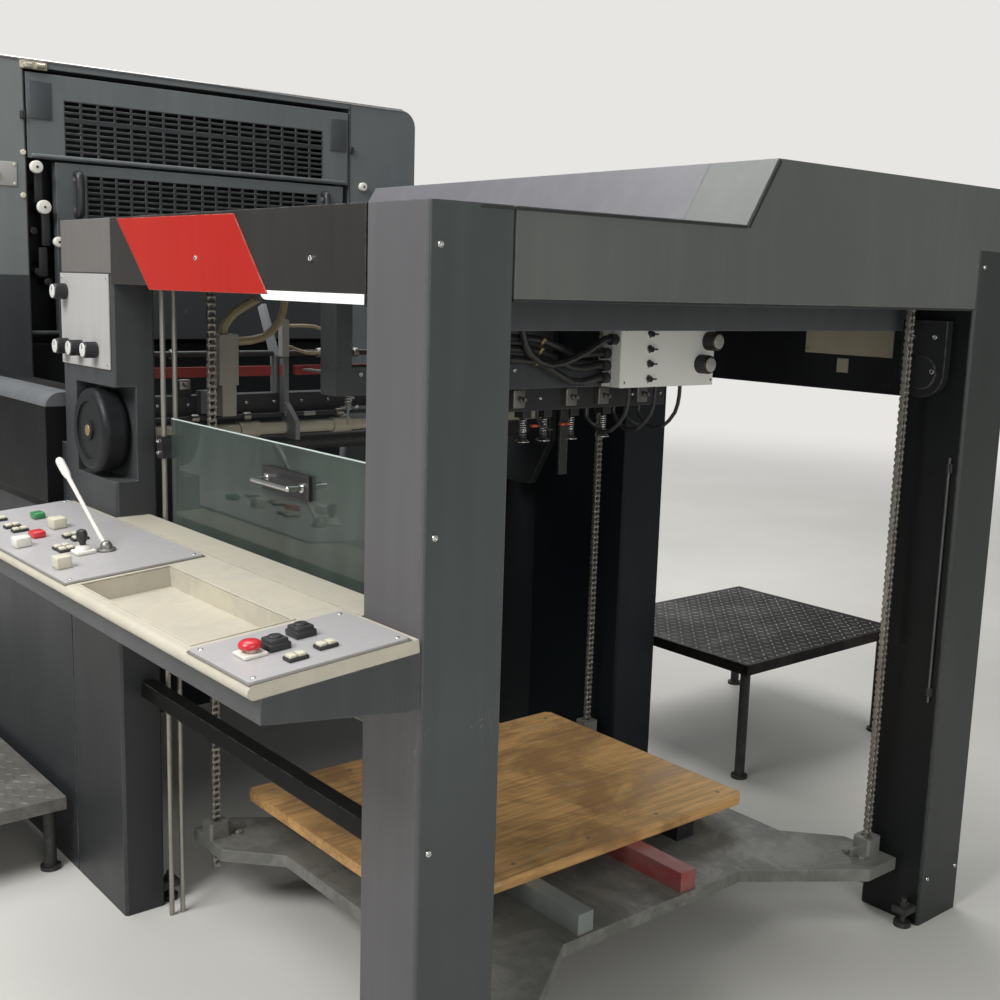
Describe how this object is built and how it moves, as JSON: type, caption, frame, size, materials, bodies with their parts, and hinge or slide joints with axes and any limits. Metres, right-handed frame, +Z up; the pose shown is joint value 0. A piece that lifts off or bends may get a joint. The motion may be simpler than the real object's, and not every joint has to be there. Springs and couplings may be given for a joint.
{
  "type": "offset printing press end",
  "caption": "Pile station and printing unit of a sheet-fed offset printing press, with pile lift, control desk, glass guard and hinged unit guards.",
  "frame": {"origin": "centre of the bounding box on the floor", "axes": "+X from the operator side to the drive side, +Y along the press from the open end of the pile station to the printing unit, +Z up"},
  "size_m": [3.31, 3.43, 2.16],
  "materials": {
    "frame_paint": "satin",
    "dark_paint": "satin",
    "roof_paint": "satin",
    "chain_steel": "oily",
    "chrome_rod": "polished",
    "guard_glass": "clear",
    "black_plastic": "satin",
    "desk_laminate": "worn",
    "console_metal": "brushed",
    "button_plastic": "gloss",
    "white_plastic": "gloss",
    "panel_paint": "satin",
    "red_enamel": "gloss",
    "cream_plate": "worn",
    "lamp_white": "gloss",
    "platform_paint": "worn",
    "board_wood": "rough",
    "rail_paint": "worn",
    "red_rail_paint": "worn",
    "ribbed_hose": "satin",
    "dark_metal": "oily",
    "hose_rubber": "matt",
    "unit_paint": "satin",
    "tread_metal": "rough",
    "leg_rubber": "matt"
  },
  "bodies": {
    "press": {"near_post": "frame_paint", "right_post": "frame_paint", "operator_column": "frame_paint", "drive_column": "dark_paint", "end_beam": "frame_paint", "operator_beam": "frame_paint", "drive_beam": "dark_paint", "unit_end_beam": "frame_paint", "roof_cover": "roof_paint", "lift_chains": "chain_steel", "chain_brackets": "dark_paint", "floor_feet": "leg_rubber", "window_sill": "desk_laminate", "guard_rods": "chrome_rod", "safety_bar": "frame_paint", "desk_top": "desk_laminate", "desk_tray": "desk_laminate", "desk_trough": "dark_paint", "desk_consoles": "console_metal", "desk_buttons": "button_plastic", "desk_wand": "white_plastic", "column_panel": "panel_paint", "red_plate": "red_enamel", "drive_plate": "cream_plate", "strip_lamp": "lamp_white", "head_rails": "dark_paint", "head_crossbar": "dark_paint", "suction_head": "dark_metal", "air_box": "panel_paint", "air_fittings": "black_plastic", "air_hoses": "hose_rubber", "infeed_cheeks": "dark_paint", "infeed_bars": "dark_metal", "feed_hoses": "ribbed_hose", "feed_side_frames": "dark_paint", "feed_table": "dark_metal", "side_hood": "unit_paint", "unit_core": "dark_paint", "unit_operator_cover": "unit_paint", "unit_drive_cover": "unit_paint", "unit_top": "unit_paint", "operator_step": "tread_metal", "drive_step": "tread_metal"},
    "pile_platform": {"lift_platform": "platform_paint", "pile_board": "board_wood", "board_rails": "rail_paint", "red_rail": "red_rail_paint"},
    "glass_guard": {"glass_pane": "guard_glass", "guard_handle": "black_plastic", "guard_grip": "chrome_rod"},
    "handwheel": {"handwheel": "black_plastic"},
    "column_knob_1": {"column_knob_1": "black_plastic"},
    "column_knob_2": {"column_knob_2": "black_plastic"},
    "column_knob_3": {"column_knob_3": "black_plastic"},
    "column_knob_4": {"column_knob_4": "black_plastic"},
    "air_knob_1": {"air_knob_1": "black_plastic"},
    "air_knob_2": {"air_knob_2": "black_plastic"},
    "upper_guard": {"upper_guard": "unit_paint"},
    "lower_guard": {"lower_guard": "unit_paint"}
  },
  "joints": [
    {"name": "pile_lift", "type": "slide", "parent": "press", "child": "pile_platform", "axis": [0, 0, 1], "range_m": [-0.1, 0.8]},
    {"name": "glass_guard_lift", "type": "slide", "parent": "press", "child": "glass_guard", "axis": [0, 0, 1], "range_m": [0, 0.25]},
    {"name": "handwheel_turn", "type": "hinge", "parent": "press", "child": "handwheel", "pos_m": [-0.985, -0.415, 1.17], "axis": [1, 0, 0], "continuous": true},
    {"name": "upper_guard_open", "type": "hinge", "parent": "press", "child": "upper_guard", "pos_m": [-0.185, 0.7325, 2.105], "axis": [-1, 0, 0], "range_deg": [0, 70]},
    {"name": "lower_guard_open", "type": "hinge", "parent": "press", "child": "lower_guard", "pos_m": [-0.185, 0.7325, 1.34], "axis": [1, 0, 0], "range_deg": [0, 85]},
    {"name": "column_knob_1_turn", "type": "hinge", "parent": "press", "child": "column_knob_1", "pos_m": [-1.045, -0.268, 1.485], "axis": [-1, 0, 0], "range_deg": [-135, 135]},
    {"name": "column_knob_2_turn", "type": "hinge", "parent": "press", "child": "column_knob_2", "pos_m": [-1.045, -0.273, 1.357], "axis": [-1, 0, 0], "range_deg": [-135, 135]},
    {"name": "column_knob_3_turn", "type": "hinge", "parent": "press", "child": "column_knob_3", "pos_m": [-1.045, -0.358, 1.357], "axis": [-1, 0, 0], "range_deg": [-135, 135]},
    {"name": "column_knob_4_turn", "type": "hinge", "parent": "press", "child": "column_knob_4", "pos_m": [-1.045, -0.446, 1.357], "axis": [-1, 0, 0], "range_deg": [-135, 135]},
    {"name": "air_knob_1_turn", "type": "hinge", "parent": "press", "child": "air_knob_1", "pos_m": [0.309, -1.105, 1.404], "axis": [0, -1, 0], "range_deg": [-135, 135]},
    {"name": "air_knob_2_turn", "type": "hinge", "parent": "press", "child": "air_knob_2", "pos_m": [0.283, -1.105, 1.346], "axis": [0, -1, 0], "range_deg": [-135, 135]}
  ]
}
